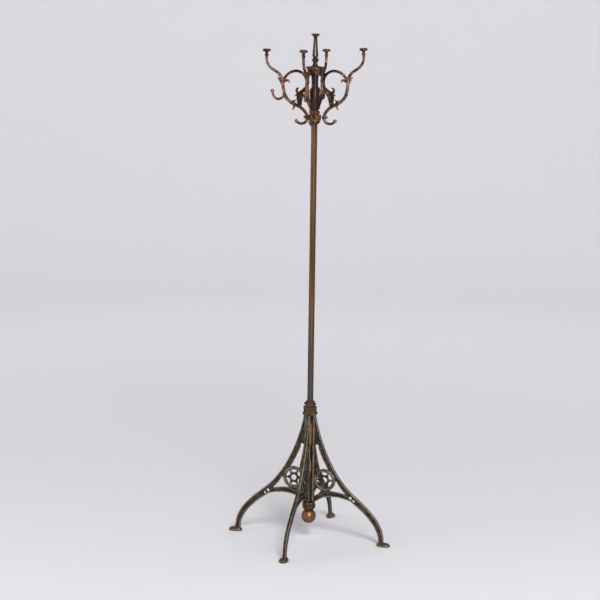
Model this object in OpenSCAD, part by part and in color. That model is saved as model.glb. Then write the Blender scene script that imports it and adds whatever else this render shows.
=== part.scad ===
// Standing coat rack: four pierced cast legs, a round pole, and a head of four scroll arms that turns on it.
// The pole stands along Z, the floor is z = 0, and the legs lie along X and Y.

/* [Overall] */
// Height from the floor to the top of the finial
overall_h = 1800; // [1450:10:2200]
// Distance from the pole's axis to the middle of a foot
foot_reach = 280; // [230:5:340]
// Distance from the pole's axis to a hat peg
arm_reach = 173; // [144:1:208]

/* [Pole] */
// Outside diameter of the pole
pole_d = 21.3; // [18:0.1:25.6]
// Wall of the pole
pole_wall = 2.7; // [2:0.1:3.5]

/* [Legs] */
// Height at which the legs meet the collar
leg_h = 458; // [400:5:550]
// Thickness of the raised beads and ribs of a leg
leg_t = 12; // [10:0.5:14]
// Thickness of a leg's web
web_t = 8; // [6:0.5:9]
// Width of the bead along an edge
bead_w = 4.5; // [3:0.5:6]
// Outside radius of the pierced ring
ring_r = 41; // [36:0.5:43]
// Radius of the hole inside the ring
ring_hole_r = 28.5; // [24:0.5:31]
// Radius of the hole in the middle of the star
star_hole_r = 10; // [7:0.5:12]
// Length of a foot pad
foot_l = 50; // [40:1:60]
// Width of a foot pad
foot_w = 34; // [28:1:40]
// Height of a foot pad
foot_h = 13; // [10:0.5:16]

/* [Collar] */
// Height of the octagonal collar over the legs
collar_h = 30; // [26:1:36]
// Wall of the octagonal collar around the leg tenons
collar_wall = 4; // [3:0.5:6]
// Depth of the tenon at the top of a leg, from the pole outwards
tenon_w = 7; // [5:0.5:9]
// Height of the tenon
tenon_h = 18; // [12:1:22]
// Height of the plain ring over the collar
neck_ring_h = 19; // [15:1:24]
// Wall of the plain ring
neck_ring_wall = 7; // [5:0.5:9]

/* [Hub] */
// Height of the hub's underside over the floor
hub_z = 110; // [100:1:125]
// Height of the hub
hub_h = 27; // [22:1:34]
// Floor of the hub under the pole
hub_floor = 9; // [7:0.5:12]
// Outside radius of the hub
hub_r = 25; // [23:0.5:30]
// Radius of the ball under the hub
ball_r = 26; // [20:0.5:30]
// Radius of the tie rod
rod_r = 4; // [3:0.5:5]

/* [Head] */
// Turn of the head from the legs, about the pole
head_turn = 4.2; // [0:0.1:45]
// Length of the finial over the crown
finial_h = 110.5; // [90:1:130]
// Radius of the finial's top disc
finial_disc_r = 14.5; // [12:0.5:18]
// Height of the crown
crown_h = 33.5; // [29:0.5:38]
// Radius of the crown at its shoulder
crown_r = 27; // [24:0.5:32]
// Distance across the flats of the octagonal arm block
block_af = 42; // [38:1:50]
// Height of the octagonal arm block
block_h = 19.4; // [17:0.2:24]
// Height of the flange ring over the block
flange_h = 11; // [9:0.5:14]
// Height of the stop ring under the block
stop_h = 9; // [7:0.5:12]

/* [Arms] */
// Diameter of an arm's main stem
stem_d = 10.4; // [9:0.2:12]
// Diameter of an arm's loop
loop_d = 8.6; // [7:0.2:10]
// Diameter of a coat hook at its bend
hook_d = 8.6; // [7:0.2:10]
// Radius of a coat hook's ball
hook_ball_r = 6.6; // [5:0.2:8]
// Height of a hat peg's disc over the top of the arm's curve
peg_h = 32; // [26:1:40]
// Radius of a hat peg's disc
peg_disc_r = 13; // [10:0.5:16]
// Outward slack of the right arm, whose lower screw is loose
slack = 3; // [0:0.1:3]

/* [Fits] */
// Radial running clearance of the turning head on the pole
running = 0.06; // [0.03:0.01:0.1]
// Clearance between pieces that are fastened together
seat = 0.15; // [0.1:0.05:0.3]
// Clearance around a tenon, a tongue and a screw's shank
play = 0.35; // [0.2:0.05:0.5]
// Vertical gap between the turning head and what is fixed
thrust_gap = 0.3; // [0.2:0.05:0.5]

/* [Hidden] */
$fn = 48;
SIDES = ["right", "back", "left", "front"];

function side_angle(i) = 90 * i;

// Pole and leg sizes that follow from the driving ones.
pole_r = pole_d / 2;
rib_r = pole_r + play;            // inner edge of a leg
rib_w = 7;                        // width of the rib along the pole
pole_bottom = hub_z + hub_floor;
collar_z = leg_h + play;
collar_af = 2 * (rib_r + tenon_w + collar_wall);
neck_ring_z = collar_z + collar_h;
neck_ring_r = pole_r + neck_ring_wall;

// A leg is drawn on a grid of its own, 11..280 wide and 0..458 high, which follows the reach and the height.
grid_r = (foot_reach - rib_r) / (280 - 11);
grid_z = leg_h / 458;
function leg_pt(p) = [rib_r + (p[0] - 11) * grid_r, p[1] * grid_z];
ring_pt = leg_pt([57.5, 222]);
leg_hub_z = hub_z + 2;            // lowest point of the lug in the hub
lug_w = 10;                       // depth of the lug from the pole outwards

// Curves: a cubic Bezier through four grid points, and the offset of a polyline to its left.
function bezier(b, n = 14) = [for (i = [0 : n]) let (t = i / n, u = 1 - t)
    u * u * u * b[0] + 3 * u * u * t * b[1] + 3 * u * t * t * b[2] + t * t * t * b[3]];
function unit(v) = v / norm(v);
function beside(pts, d) = [for (i = [0 : len(pts) - 1])
    let (t = unit(pts[min(i + 1, len(pts) - 1)] - pts[max(i - 1, 0)])) pts[i] + d * [-t[1], t[0]]];
function rest(v) = [for (i = [1 : len(v) - 1]) v[i]];
function reverse(v) = [for (i = [len(v) - 1 : -1 : 0]) v[i]];
function ribbon(pts, a, b) = concat(beside(pts, a), reverse(beside(pts, b)));
function arc(c, r, a0, a1, n = 10) = [for (i = [0 : n]) let (a = a0 + (a1 - a0) * i / n) c + r * [cos(a), sin(a)]];

// The outer edge runs from the collar to the knee and on to the foot, and the under edge from the foot to the hub.
outer_edge = concat(
    bezier([for (p = [[22, 458], [42, 352], [92, 240], [163, 180]]) leg_pt(p)]),
    rest(bezier([for (p = [[163, 180], [215, 136], [281, 92], [281, 12]]) leg_pt(p)]))
);
under_edge = concat(
    bezier([for (p = [[261, 12], [261, 72], [204, 116], [153, 153]]) leg_pt(p)]),
    rest(bezier([for (p = [[153, 153], [118, 164], [62, 172], [30, 142]]) leg_pt(p)]))
);

module plate(t) {
    rotate([90, 0, 0])
        linear_extrude(t, center = true)
            children();
}

module star(n, outer, inner) {
    polygon([for (i = [0 : 2 * n - 1]) let (r = i % 2 == 0 ? outer : inner) r * [cos(180 * i / n), sin(180 * i / n)]]);
}

module leg_outline() {
    difference() {
        polygon(concat(
            [[rib_r, leg_h]], outer_edge, under_edge,
            [[rib_r + lug_w, hub_z + hub_h + 4], [rib_r + lug_w, leg_hub_z], [rib_r, leg_hub_z]]
        ));
        tall_opening();
        side_opening();
        corner_opening();
        translate(ring_pt) circle(ring_hole_r);
        for (hole = [[155, 165, 5], [167, 155, 4]])
            translate(leg_pt(hole)) circle(hole[2]);
    }
}

module tall_opening() {
    polygon(concat(
        bezier([for (p = [[37, 264], [32, 285], [27, 310], [22, 341]]) leg_pt(p)], 4),
        bezier([for (p = [[22, 341], [22, 354], [32, 354], [35, 341]]) leg_pt(p)], 6),
        bezier([for (p = [[35, 341], [43, 318], [55, 294], [70, 266]]) leg_pt(p)], 5),
        arc(ring_pt, ring_r, 72, 120, 6)
    ));
}

module side_opening() {
    polygon(concat(
        arc(ring_pt, ring_r, -66, -4, 8),
        bezier([for (p = [[102, 221], [110, 205], [124, 188], [139, 173]]) leg_pt(p)], 5),
        [leg_pt([104, 177])]
    ));
}

module corner_opening() {
    polygon(concat(arc(ring_pt, ring_r, 226, 252, 4), [leg_pt([36, 170]), leg_pt([20, 160]), leg_pt([21, 172])]));
}

module leg() {
    color("dimgray") {
        difference() {
            plate(web_t) leg_outline();
            for (side = [-1, 1])
                translate([leg_pt([181, 144])[0], side * web_t / 2, leg_pt([181, 144])[1]])
                    rotate([90, 0, 0]) cylinder(r = 3, h = 3, center = true);
        }
        plate(leg_t) {
            polygon(ribbon(outer_edge, 0, -bead_w));
            polygon(ribbon(under_edge, 0, -bead_w));
        }
        plate(leg_t) translate([rib_r, hub_z + hub_h + 3]) square([rib_w, leg_h - hub_z - hub_h - 3]);
        plate(leg_t - 1) translate(ring_pt) difference() {
            circle(ring_r);
            circle(ring_hole_r);
        }
        plate(web_t - 1) translate(ring_pt) difference() {
            star(6, ring_hole_r + 1.5, ring_hole_r * 0.6);
            circle(star_hole_r);
        }
        plate(web_t) translate([rib_r, leg_h - 1]) square([tenon_w, tenon_h + 1]);
        foot();
    }
}

module foot() {
    translate([foot_reach, 0, 0]) {
        linear_extrude(foot_h * 0.55) hull() {
            translate([(foot_l - foot_w) / 2, 0]) circle(foot_w / 2, $fn = 40);
            translate([-foot_l / 2 + foot_w * 0.35, 0]) circle(foot_w * 0.35, $fn = 32);
        }
        translate([-foot_l / 2 + 9, 0, foot_h * 0.3]) rotate_extrude()
            polygon([[0, 0], [9, 0], [8, foot_h * 0.5], [5.5, foot_h * 0.9], [3, foot_h], [0, foot_h]]);
        translate([(foot_l - foot_w) / 2 - 3, 0, foot_h * 0.3]) rotate_extrude()
            polygon([[0, 0], [foot_w * 0.42, 0], [foot_w * 0.4, foot_h * 0.3], [foot_w * 0.3, foot_h * 0.56], [foot_w * 0.14, foot_h * 0.7],
                [0, foot_h * 0.7]]);
    }
}

module leg_at(i) {
    rotate([0, 0, side_angle(i)]) leg();
}

module pole() {
    color("saddlebrown") difference() {
        translate([0, 0, pole_bottom]) cylinder(r = pole_r, h = pole_top - pole_bottom);
        translate([0, 0, pole_bottom - 1]) cylinder(r = pole_r - pole_wall, h = pole_top - pole_bottom + 2);
    }
}

module octagon(af, h) {
    rotate([0, 0, 22.5]) cylinder(r = af / 2 / cos(22.5), h = h, $fn = 8);
}

module base_collar() {
    color("dimgray") translate([0, 0, collar_z]) difference() {
        union() {
            octagon(collar_af, collar_h);
            translate([0, 0, 2]) octagon(collar_af + 6, 7);
            translate([0, 0, collar_h - 4]) octagon(collar_af + 2, 2.5);
        }
        translate([0, 0, -1]) cylinder(r = pole_r + seat, h = collar_h + 2);
        for (i = [0 : 3])
            rotate([0, 0, side_angle(i)])
                translate([0, -web_t / 2 - play, -1])
                    cube([rib_r + tenon_w + play, web_t + 2 * play, tenon_h + 1 + play]);
    }
}

screw_r = 2.3;
module neck_ring() {
    color("saddlebrown") translate([0, 0, neck_ring_z + seat]) difference() {
        union() {
            cylinder(r = neck_ring_r - 1.5, h = neck_ring_h);
            translate([0, 0, 3]) cylinder(r = neck_ring_r, h = neck_ring_h - 8);
        }
        translate([0, 0, -1]) cylinder(r = pole_r + seat, h = neck_ring_h + 2);
        translate([0, 0, neck_ring_h / 2]) rotate([0, 90, 0])
            cylinder(r = screw_r + seat, h = 2 * neck_ring_r + 2, center = true);
    }
}

module ring_screw(a) {
    color("saddlebrown") translate([0, 0, neck_ring_z + seat + neck_ring_h / 2])
        rotate([0, 0, a]) rotate([0, 90, 0]) {
            translate([0, 0, pole_r + seat]) cylinder(r = screw_r, h = neck_ring_wall + 1.5);
            translate([0, 0, neck_ring_r + seat]) rotate_extrude()
                polygon([[0, 0], [3, 0], [4, 1.2], [4, 2.6], [3, 4], [0, 4.6]]);
        }
}

module base_hub() {
    color("dimgray") difference() {
        translate([0, 0, hub_z]) rotate_extrude() polygon([
            [0, 0], [hub_r - 8, 0], [hub_r - 3, 3], [hub_r, 9], [hub_r, hub_h - 7], [hub_r - 2, hub_h - 2],
            [hub_r - 5, hub_h], [0, hub_h]
        ]);
        translate([0, 0, pole_bottom]) cylinder(r = pole_r + seat, h = hub_h);
        translate([0, 0, hub_z - 1]) cylinder(r = rod_r + play, h = hub_floor + 2);
        for (i = [0 : 3])
            rotate([0, 0, side_angle(i)])
                translate([rib_r - play, -web_t / 2 - play, leg_hub_z - play])
                    cube([lug_w + 2 * play, web_t + 2 * play, hub_h]);
    }
}

washer_h = 3.5;
module hub_washer() {
    color("dimgray") translate([0, 0, hub_z - washer_h - seat]) difference() {
        rotate_extrude() polygon([[0, 0], [15, 0], [16.5, 1], [16.5, washer_h - 1], [15.5, washer_h], [0, washer_h]]);
        translate([0, 0, -1]) cylinder(r = rod_r + play, h = washer_h + 2);
    }
}

// The ball's flat top meets the washer.
ball_flat_r = 14;
ball_top = hub_z - washer_h - 2 * seat;
ball_z = ball_top - sqrt(ball_r * ball_r - ball_flat_r * ball_flat_r);
rod_bottom = ball_z - ball_r * 0.3;
rod_top = pole_bottom + 13;
module ball() {
    color("sienna") difference() {
        translate([0, 0, ball_z]) sphere(ball_r);
        translate([0, 0, ball_top]) cylinder(r = ball_r, h = ball_r);
        translate([0, 0, rod_bottom - seat]) cylinder(r = rod_r + seat, h = 2 * ball_r);
    }
}

module tie_rod() {
    color("gray") translate([0, 0, rod_bottom]) cylinder(r = rod_r, h = rod_top - rod_bottom);
}

module tie_nut() {
    color("gray") translate([0, 0, pole_bottom + seat]) difference() {
        cylinder(r = 6.6, h = 6.5, $fn = 6);
        translate([0, 0, -1]) cylinder(r = rod_r + seat, h = 9);
    }
}

// The head hangs together from the crown: the arms' size sets how far below it the block sits.
arm_k = arm_reach / 173;
crown_z = overall_h - finial_h - crown_h;
block_z = crown_z + 5 - 148 * arm_k - block_h / 2;
tongue_pt = [30, 5];              // where an arm hooks into the crown, from the crown's underside
crown_bore_h = 20;
pole_top = crown_z + crown_bore_h - 4;
shoulder_z = crown_h * 0.85;

module stop_ring() {
    color("saddlebrown") translate([0, 0, block_z - 2 * thrust_gap - thrust_h - stop_h]) difference() {
        rotate_extrude() polygon([[0, 0], [15, 0], [20, 4], [20, stop_h - 1], [19, stop_h], [0, stop_h]]);
        translate([0, 0, -1]) cylinder(r = pole_r + seat, h = stop_h + 2);
    }
}

thrust_h = 2;
module thrust_washer() {
    color("goldenrod") translate([0, 0, block_z - thrust_gap - thrust_h]) difference() {
        cylinder(r = 17, h = thrust_h);
        translate([0, 0, -1]) cylinder(r = pole_r + seat, h = thrust_h + 2);
    }
}

module arm_block() {
    color("peru") translate([0, 0, block_z]) rotate([0, 0, head_turn]) difference() {
        union() {
            octagon(block_af, block_h);
            translate([0, 0, 1.2]) octagon(block_af + 1.6, 2.4);
            translate([0, 0, block_h - 3.6]) octagon(block_af + 1.6, 2.4);
        }
        translate([0, 0, -1]) cylinder(r = pole_r + running, h = block_h + 2);
        for (i = [0 : 3])
            rotate([0, 0, side_angle(i)]) {
                translate([pole_r, 0, block_h / 2]) rotate([0, 90, 0]) cylinder(r = shank_r + seat, h = block_af);
                translate([block_af / 2, 0, block_h / 2]) cube([4, 12, block_h + 2], center = true);
            }
    }
}

module flange_ring() {
    color("peru") translate([0, 0, block_z + block_h + seat]) difference() {
        rotate_extrude() polygon([
            [0, 0], [16, 0], [16, flange_h - 6], [19.5, flange_h - 5], [19.5, flange_h - 1], [18, flange_h], [0, flange_h]
        ]);
        translate([0, 0, -1]) cylinder(r = pole_r + running, h = flange_h + 2);
    }
}

tongue_w = 7;
tongue_h = 9;
tongue_in = 20;                   // how near the pole a tongue reaches
module crown() {
    color("dimgray") translate([0, 0, crown_z]) rotate([0, 0, head_turn]) difference() {
        union() {
            rotate_extrude() polygon([
                [0, 0], [crown_r - 8, 0], [crown_r - 5.5, 3], [crown_r - 4.5, 9], [crown_r - 3.5, shoulder_z - 11],
                [crown_r, shoulder_z - 7], [crown_r, shoulder_z + 1.5], [crown_r - 4, shoulder_z + 3],
                [crown_r - 13, crown_h - 0.8], [crown_r - 16, crown_h], [0, crown_h]
            ]);
            for (i = [0 : 7])
                rotate([0, 0, 45 * i]) translate([crown_r - 4, 0, 4]) cylinder(r = 4.6, h = shoulder_z - 4);
            for (i = [0 : 3])
                rotate([0, 0, side_angle(i)])
                    translate([crown_r - 8, -tongue_w / 2 - 3, 0]) cube([9, tongue_w + 6, 12]);
        }
        translate([0, 0, -1]) cylinder(r = pole_r + running, h = crown_bore_h + 1);
        for (i = [0 : 3])
            rotate([0, 0, side_angle(i)]) {
                translate([tongue_in - 0.8, -tongue_w / 2 - play, -1])
                    cube([crown_r, tongue_w + 2 * play, tongue_h + 1.8]);
                translate([pole_r + 3, 0, shoulder_z - 1]) rotate([0, 90, 0])
                    cylinder(r = screw_r + seat, h = crown_r);
            }
    }
}

module crown_screw(i) {
    color("dimgray") translate([0, 0, crown_z + shoulder_z - 1]) rotate([0, 0, head_turn + side_angle(i)])
        rotate([0, 90, 0]) {
            translate([0, 0, pole_r + 3.5]) cylinder(r = screw_r, h = crown_r - pole_r);
            translate([0, 0, crown_r + 0.6 + seat]) rotate_extrude()
                polygon([[0, 0], [3.4, 0], [4.2, 1.2], [4.2, 2.6], [3, 4], [0, 4.8]]);
        }
}

// A small disc caps the pole inside the crown.
module pole_cap() {
    color("goldenrod") translate([0, 0, pole_top + seat]) cylinder(r = pole_r - 0.6, h = 2);
}

module finial() {
    z0 = crown_z + crown_h + seat;
    color("dimgray") translate([0, 0, z0]) rotate([0, 0, head_turn]) difference() {
        rotate_extrude() polygon([
            [0, 0], [12, 0], [9, 3], [7.6, 8], [8, 13], [10.5, 17], [12.6, 20.5], [12.6, 22.5], [9.5, 24.5],
            [7, 27], [7.4, 30], [8.8, 33], [8.8, 36], [6.4, 70], [5.2, finial_h - 18], [6, finial_h - 13],
            [8.5, finial_h - 9], [finial_disc_r - 1.5, finial_h - 6.4], [finial_disc_r, finial_h - 5],
            [finial_disc_r, finial_h - 3], [finial_disc_r - 3, finial_h - seat], [0, finial_h - seat]
        ]);
        for (a = [0, 90])
            rotate([0, 0, a]) rotate([90, 0, 0]) linear_extrude(40, center = true) polygon([
                [-2.6, 34], [-1.5, 32.4], [1.5, 32.4], [2.6, 34], [3, 38], [1.2, finial_h - 22], [0, finial_h - 19],
                [-1.2, finial_h - 22], [-3, 38]
            ]);
    }
}

// Arms. A path is a chain of tangent arcs, each [radius, turn], walked from a point and a heading.
arc_step = 15;
function walk(x, z, h, arcs, i = 0) =
    i == len(arcs) ? [[x, z, h]] :
    let (
        r = arcs[i][0] * arm_k * sign(arcs[i][1]),
        turn = arcs[i][1],
        n = ceil(abs(turn) / arc_step),
        cx = x - sin(h) * r,
        cz = z + cos(h) * r,
        h1 = h + turn
    )
    concat(
        [for (k = [0 : n - 1]) let (a = h + turn * k / n) [cx + sin(a) * r, cz - cos(a) * r, a]],
        walk(cx + sin(h1) * r, cz - cos(h1) * r, h1, arcs, i + 1)
    );

// Points on an arm are from the tongue, outwards and up, before the arm's scale.
function arm_pt(p) = [tongue_pt[0] + p[0] * arm_k, crown_z + tongue_pt[1] + p[1] * arm_k];
peg_pt = arm_pt([143, 53]);
loop_start = arm_pt([81.4, -23]);
hook_start = arm_pt([76.5, -67]);

main_path = walk(peg_pt[0], peg_pt[1], -90,
    [[44, -56], [209, -5], [45, 58], [165, -12], [58, -47], [141, -8], [63, 44], [21.5, 170]]);
loop_path = walk(loop_start[0], loop_start[1], 110,
    [[51, 57], [37, 93], [55, 21], [77, 19], [83, -21], [125, -7]]);
hook_path = walk(hook_start[0], hook_start[1], -80, [[25, 66], [18.5, 70], [38, 32]]);
lower_ball = main_path[len(main_path) - 1];
hook_ball = hook_path[len(hook_path) - 1];

limb_sides = 8;
module limb(path, sizes) {
    n = len(path);
    s = limb_sides;
    points = [for (i = [0 : n - 1]) let (r = lookup(i / (n - 1), sizes)) for (k = [0 : s - 1])
        let (a = 360 * (k + 0.5) / s)
        [path[i][0] - sin(path[i][2]) * r * cos(a), r * sin(a), path[i][1] + cos(path[i][2]) * r * cos(a)]];
    faces = concat(
        [[for (k = [s - 1 : -1 : 0]) k]],
        [for (i = [0 : n - 2]) for (k = [0 : s - 1])
            [i * s + k, i * s + (k + 1) % s, (i + 1) * s + (k + 1) % s, (i + 1) * s + k]],
        [[for (k = [0 : s - 1]) (n - 1) * s + k]]
    );
    polyhedron(points, faces);
}

// A leaf is a chain of flattened beads, each [outwards, up, radius] on the arm's own grid.
module leaf(beads) {
    for (i = [0 : len(beads) - 2])
        hull() for (b = [beads[i], beads[i + 1]])
            translate([arm_pt(b)[0], 0, arm_pt(b)[1]]) scale([1, 0.8, 1]) sphere(b[2], $fn = 6);
}

module hat_peg() {
    translate([peg_pt[0], 0, peg_pt[1]]) rotate_extrude($fn = 16) polygon([
        [0, -3], [4.8, -3], [4.8, 5], [5.2, 7], [6.8, 9.5], [6.8, 12], [5, 14.5], [4.6, 17], [5.2, peg_h - 9],
        [7, peg_h - 7], [peg_disc_r - 2, peg_h - 6.5], [peg_disc_r, peg_h - 5], [peg_disc_r - 1, peg_h - 3],
        [8, peg_h - 0.6], [0, peg_h]
    ]);
}

screw_z = block_z + block_h / 2;
shank_r = 1.6;
arm_face_r = block_af / 2 - 2 + play;

module arm_solid(whole_hook) {
    limb(main_path, [[0, 4.2], [0.15, 4.6], [0.3, stem_d / 2], [0.5, stem_d / 2 + 0.2], [0.75, 4.7], [1, hook_d / 2 - 0.4]]);
    limb(loop_path, [[0, loop_d / 2 + 0.3], [0.4, loop_d / 2], [0.8, loop_d / 2], [1, loop_d / 2 + 0.6]]);
    if (whole_hook) {
        limb(hook_path, [[0, hook_d / 2 + 0.3], [0.6, hook_d / 2], [1, hook_d / 2 - 0.9]]);
        translate([hook_ball[0], 0, hook_ball[1]]) sphere(hook_ball_r, $fn = 12);
    } else {
        limb([for (i = [0 : 4]) hook_path[i]], [[0, hook_d / 2 + 0.3], [1, hook_d / 2 - 0.3]]);
    }
    translate([lower_ball[0], 0, lower_ball[1]]) sphere(hook_ball_r, $fn = 12);
    hat_peg();
    // Body and curled tip of the leaf in the loop, its small tip, the fork's two leaves, and the lower stem's two.
    leaf([[23, -106, 5], [26, -84, 7.5], [20, -66, 7], [31, -64, 4.6], [35, -56, 3.6], [28, -48, 2]]);
    leaf([[26, -72, 5], [34, -72, 3.2], [40, -75, 1.8]]);
    leaf([[82, -36, 4.2], [89, -28, 4.4], [96, -20, 3.2], [101, -15, 1.6]]);
    leaf([[81, -28, 4], [75, -26, 3.4], [69, -22, 3.4], [63, -25, 2.6], [61, -31, 1.6]]);
    leaf([[48, -94, 4], [41, -93.5, 3.2], [38.5, -88, 1.8]]);
    leaf([[40, -99, 4.5], [42, -111, 3.8], [49.5, -124, 1.6]]);
    // The tongue that hooks into the crown, and the pad that meets the block.
    translate([tongue_in, -tongue_w / 2, crown_z]) cube([loop_neck[0] - tongue_in, tongue_w, tongue_h]);
    translate([arm_face_r, 0, screw_z]) rotate([0, 90, 0])
        cylinder(r = 5.2, h = low_stem[0] - arm_face_r, $fn = 16);
    translate([low_stem[0], 0, screw_z]) rotate([0, 90, 0]) cylinder(r = 4.6, h = stem_d / 2, $fn = 16);
}

// The points where the main stem passes the screw and where the loop passes the tongue.
function nearest(path, z) = let (d = [for (p = path) abs(p[1] - z)]) path[search(min(d), d)[0]];
low_stem = nearest([for (p = main_path) if (p[0] < 50) p], screw_z);
loop_neck = nearest([for (p = loop_path) if (p[0] < 60 * arm_k) p], crown_z + tongue_h / 2);

module arm(i) {
    lean = i == 0 ? slack : 0;
    color("peru") rotate([0, 0, head_turn + side_angle(i)])
        translate([tongue_pt[0], 0, crown_z + tongue_pt[1]]) rotate([0, -lean, 0])
            translate([-tongue_pt[0], 0, -crown_z - tongue_pt[1]])
                difference() {
                    union() arm_solid(i != 0);
                    translate([0, 0, screw_z]) rotate([0, 90, 0]) cylinder(r = shank_r + 0.8, h = 60);
                }
}

module arm_screw(i) {
    out = i == 0 ? 148 * arm_k * sin(slack) : 0;
    color("peru") rotate([0, 0, head_turn + side_angle(i)]) translate([0, 0, screw_z]) rotate([0, 90, 0])
        translate([0, 0, out]) {
            translate([0, 0, pole_r + 1.5]) cylinder(r = shank_r, h = low_stem[0] + stem_d / 2 - pole_r);
            translate([0, 0, low_stem[0] + stem_d / 2 + 0.5]) rotate_extrude()
                polygon([[0, 0], [4, 0], [4, 1], [3, 2.6], [0, 3.4]]);
        }
}

for (i = [0 : 3]) {
    leg_at(i);
    arm(i);
    arm_screw(i);
    crown_screw(i);
}
pole();
base_collar();
neck_ring();
ring_screw(180);  // ring_screw_left
ring_screw(0);  // ring_screw_right
base_hub();
hub_washer();
ball();
tie_rod();
tie_nut();
stop_ring();
thrust_washer();
arm_block();
flange_ring();
crown();
finial();
pole_cap();
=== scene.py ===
# %% [markdown]
# # A standing coat rack in cast iron
# The rack is a hall stand from the age of cast iron: four pierced legs meet a round pole, and a head of
# four scroll arms turns on top. Everything here is measured in metres, in the same frame as the frame file:
# the floor is z = 0, the pole stands on Z, and the legs lie along X and Y.
# The frame has the plain solids. Each casting is modelled again here with its beads, lobes and leaves,
# and gets a finish made of nodes.

# %% Load the frame
import math
import bpy
from mathutils import Matrix, Vector


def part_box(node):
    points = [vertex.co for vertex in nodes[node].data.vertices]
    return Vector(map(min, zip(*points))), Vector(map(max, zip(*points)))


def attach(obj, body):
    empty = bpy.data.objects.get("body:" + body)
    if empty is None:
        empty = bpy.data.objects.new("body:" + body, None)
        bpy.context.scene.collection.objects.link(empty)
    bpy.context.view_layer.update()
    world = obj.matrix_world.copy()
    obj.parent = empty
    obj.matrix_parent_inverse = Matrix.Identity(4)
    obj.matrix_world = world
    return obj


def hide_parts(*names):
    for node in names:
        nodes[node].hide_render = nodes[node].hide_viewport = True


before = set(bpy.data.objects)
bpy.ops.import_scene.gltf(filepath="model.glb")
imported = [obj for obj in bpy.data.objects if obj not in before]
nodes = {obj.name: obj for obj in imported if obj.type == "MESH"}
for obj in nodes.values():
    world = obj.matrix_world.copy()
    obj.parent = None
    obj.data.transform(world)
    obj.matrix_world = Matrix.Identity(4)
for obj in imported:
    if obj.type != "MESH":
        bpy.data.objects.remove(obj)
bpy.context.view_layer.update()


def base_mm(node):
    """The height of a node's underside, in millimetres."""
    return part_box(node)[0].z * 1000


# %% [markdown]
# ## The camera
# The rack is looked at from standing eye height, a little from its left, with a long lens so that the pole
# stays straight. The camera points along a level line first, is tipped down, and is then rolled by less
# than a degree, as a camera held by hand is.

# %% Place the camera
VIEW_TURN = math.radians(17.75)
VIEW_DOWN = math.radians(9.48)
VIEW_ROLL = math.radians(0.77)
VIEW_FROM = Vector((-0.0414, -5.684, 1.8207))
LENS_MM = 98.08

turn = Matrix.Rotation(VIEW_TURN, 4, "Z")
aim = Matrix.Rotation(math.pi / 2 - VIEW_DOWN, 4, "X")
roll = Matrix.Rotation(VIEW_ROLL, 4, "Z")
bpy.ops.object.camera_add()
camera = bpy.context.object
camera.name = "camera"
camera.data.lens = LENS_MM
camera.data.sensor_width = 36
camera.matrix_world = turn @ Matrix.Translation(VIEW_FROM) @ aim @ roll
bpy.context.scene.camera = camera
print("camera at", [round(v, 3) for v in camera.matrix_world.translation])

# %% [markdown]
# ## Tools for modelling by hand
# A few short helpers stand for what a modeller does with the mouse: pick only some objects, join them,
# apply modifiers, and place a copy. Sizes are written in millimetres and multiplied by MM.

# %% Helpers for objects
MM = 0.001
SIDES = ["right", "back", "left", "front"]


def pick(*objects):
    """Leave edit mode, and select only these objects."""
    if bpy.context.object and bpy.context.object.mode != "OBJECT":
        bpy.ops.object.mode_set(mode="OBJECT")
    bpy.ops.object.select_all(action="DESELECT")
    for item in objects:
        item.select_set(True)
    if objects:
        bpy.context.view_layer.objects.active = objects[0]


def settle(item):
    """Put an object's place, turn and scale into its mesh."""
    pick(item)
    bpy.ops.object.transform_apply(location=True, rotation=True, scale=True)
    return item


def joined(name, items):
    """Join several objects into one with a new name."""
    pick(*items)
    if len(items) > 1:
        bpy.ops.object.join()
    whole = bpy.context.object
    whole.name = name
    whole.data.name = name
    return settle(whole)


def add_modifier(item, kind, **settings):
    """Add a modifier with its settings and apply it."""
    pick(item)
    modifier = item.modifiers.new(kind.lower(), kind)
    for key, value in settings.items():
        setattr(modifier, key, value)
    bpy.ops.object.modifier_apply(modifier=modifier.name)
    return item


def twin(item, name):
    """Copy an object with a mesh of its own."""
    pick(item)
    bpy.ops.object.duplicate(linked=False)
    copy = bpy.context.object
    copy.name = name
    copy.data.name = name
    return copy


def turned(item, angle, axis="Z", about=(0, 0, 0)):
    """Turn a settled object about a point."""
    spot = Matrix.Translation(Vector(about))
    item.matrix_world = spot @ Matrix.Rotation(angle, 4, axis) @ spot.inverted() @ item.matrix_world
    return settle(item)


print("helpers for objects are ready")

# %% [markdown]
# ## Casting
# Sand casting leaves no sharp corners: where two members meet there is a small fillet, because the
# patternmaker rubs wax into every inside corner. Pieces that overlap are remeshed into one skin at a fine
# grain and smoothed a little, which makes those fillets. A bevel on every edge would miss the places where
# round bars cross.

# %% Cast overlapping pieces into one skin
def cast(item, grain, rounds=3):
    """Fuse what overlaps into one skin with cells of this size in millimetres, and soften it."""
    add_modifier(item, "REMESH", mode="VOXEL", voxel_size=grain * MM)
    add_modifier(item, "SMOOTH", factor=0.5, iterations=rounds)
    pick(item)
    bpy.ops.object.shade_smooth()
    return item


def trim_below(item, height):
    """Cut off what reaches below a height in metres, and close the cut."""
    pick(item)
    bpy.ops.object.mode_set(mode="EDIT")
    bpy.ops.mesh.select_all(action="SELECT")
    bpy.ops.mesh.bisect(plane_co=(0, 0, height), plane_no=(0, 0, 1), threshold=0.00001,
                        use_fill=True, clear_inner=True)
    bpy.ops.object.mode_set(mode="OBJECT")
    return item


print("casting tools are ready")

# %% [markdown]
# ## Bars and plates
# A bar is a curve with a round section, thicker or thinner from point to point. A plate is a flat curve
# that is filled and given thickness, with its holes as inner loops. Both are drawn in the upright plane of
# one bracket, with the distance from the pole first and the height second, and become meshes.

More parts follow.
